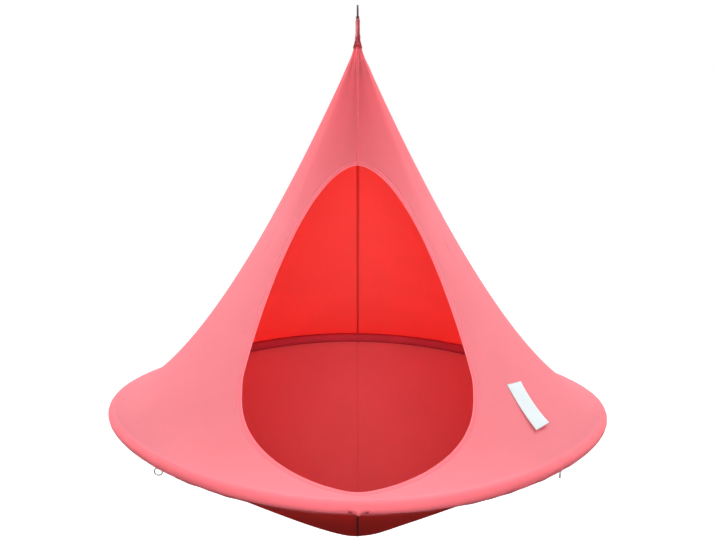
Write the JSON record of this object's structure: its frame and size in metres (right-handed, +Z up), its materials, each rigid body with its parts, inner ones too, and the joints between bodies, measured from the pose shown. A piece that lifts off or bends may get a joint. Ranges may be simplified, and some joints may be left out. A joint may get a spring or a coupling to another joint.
{
  "type": "hanging tent",
  "caption": "Hanging tent: a cloth cone over a jointed round hoop, with a sagging cloth floor, an open doorway, anchor rings under the rim and a ring to hang it by.",
  "frame": {"origin": "the point inside the top of the hanging ring where a hook bears, on the tent's axis", "axes": "+Z up, -Y out through the doorway, +X to the right of someone facing the doorway"},
  "size_m": [1.5264, 1.5264, 1.6565],
  "materials": {
    "canopy_cloth": "matt coral pink woven cloth",
    "floor_cloth": "matt red woven cloth",
    "hem_and_tape": "matt pink-red bound edge and seam tape",
    "webbing": "dull rose woven webbing",
    "label_cloth": "white woven label, bare",
    "steel": "plain steel, dull grey",
    "aluminium": "mill finish tube"
  },
  "bodies": {
    "ring": {"hanging_ring": "steel"},
    "tent": {"hanging_strap": "webbing", "canopy_left": "canopy_cloth", "canopy_right": "canopy_cloth", "floor_left": "floor_cloth", "floor_right": "floor_cloth", "rim_sleeve_left": "canopy_cloth", "rim_sleeve_right": "canopy_cloth", "door_hem": "hem_and_tape", "crown_patch": "webbing", "seam_tape_back": "hem_and_tape", "seam_tape_front": "hem_and_tape", "seam_tape_floor": "hem_and_tape", "label": "label_cloth", "hoop_section_1": "aluminium", "hoop_spigot_1": "steel", "hoop_spring_1": "steel", "hoop_section_2": "aluminium", "hoop_spigot_2": "steel", "hoop_spring_2": "steel", "hoop_section_3": "aluminium", "hoop_spigot_3": "steel", "hoop_spring_3": "steel", "hoop_section_4": "aluminium", "hoop_spigot_4": "steel", "hoop_spring_4": "steel", "hoop_section_5": "aluminium", "hoop_spigot_5": "steel", "hoop_spring_5": "steel", "hoop_section_6": "aluminium", "hoop_spigot_6": "steel", "hoop_spring_6": "steel", "anchor_tab_1": "webbing", "anchor_tab_2": "webbing", "anchor_tab_3": "webbing", "anchor_tab_4": "webbing"},
    "button_1": {"hoop_button_1": "steel"},
    "button_2": {"hoop_button_2": "steel"},
    "button_3": {"hoop_button_3": "steel"},
    "button_4": {"hoop_button_4": "steel"},
    "button_5": {"hoop_button_5": "steel"},
    "button_6": {"hoop_button_6": "steel"},
    "anchor_1": {"anchor_ring_1": "steel"},
    "anchor_2": {"anchor_ring_2": "steel"},
    "anchor_3": {"anchor_ring_3": "steel"},
    "anchor_4": {"anchor_ring_4": "steel"}
  },
  "joints": [
    {"name": "tent_swing", "type": "hinge", "parent": "ring", "child": "tent", "pos_m": [0, 0, -0.0305], "axis": [0, 1, 0], "range_deg": [-40, 40]},
    {"name": "press_button_1", "type": "slide", "parent": "tent", "child": "button_1", "axis": [0, 0, -1], "range_m": [0, 0.0022], "stiffness_N_per_m": 1500, "springref_m": -0.001, "deforming": ["hoop_spring_1"]},
    {"name": "press_button_2", "type": "slide", "parent": "tent", "child": "button_2", "axis": [0, 0, -1], "range_m": [0, 0.0022], "stiffness_N_per_m": 1500, "springref_m": -0.001, "deforming": ["hoop_spring_2"]},
    {"name": "press_button_3", "type": "slide", "parent": "tent", "child": "button_3", "axis": [0, 0, -1], "range_m": [0, 0.0022], "stiffness_N_per_m": 1500, "springref_m": -0.001, "deforming": ["hoop_spring_3"]},
    {"name": "press_button_4", "type": "slide", "parent": "tent", "child": "button_4", "axis": [0, 0, -1], "range_m": [0, 0.0022], "stiffness_N_per_m": 1500, "springref_m": -0.001, "deforming": ["hoop_spring_4"]},
    {"name": "press_button_5", "type": "slide", "parent": "tent", "child": "button_5", "axis": [0, 0, -1], "range_m": [0, 0.0022], "stiffness_N_per_m": 1500, "springref_m": -0.001, "deforming": ["hoop_spring_5"]},
    {"name": "press_button_6", "type": "slide", "parent": "tent", "child": "button_6", "axis": [0, 0, -1], "range_m": [0, 0.0022], "stiffness_N_per_m": 1500, "springref_m": -0.001, "deforming": ["hoop_spring_6"]},
    {"name": "anchor_swing_1", "type": "hinge", "parent": "tent", "child": "anchor_1", "pos_m": [-0.52056, -0.53159, -1.21092], "axis": [0.9999, 0.0105, 0], "range_deg": [-60, 60]},
    {"name": "anchor_swing_2", "type": "hinge", "parent": "tent", "child": "anchor_2", "pos_m": [0.53251, -0.51964, -1.22305], "axis": [0.3305, 0.9438, 0], "range_deg": [-60, 60]},
    {"name": "anchor_swing_3", "type": "hinge", "parent": "tent", "child": "anchor_3", "pos_m": [0.52607, 0.52607, -1.24069], "axis": [-0.7071, 0.7071, 0], "range_deg": [-60, 60]},
    {"name": "anchor_swing_4", "type": "hinge", "parent": "tent", "child": "anchor_4", "pos_m": [-0.52607, 0.52607, -1.22783], "axis": [-0.7071, -0.7071, 0], "range_deg": [-60, 60]}
  ]
}
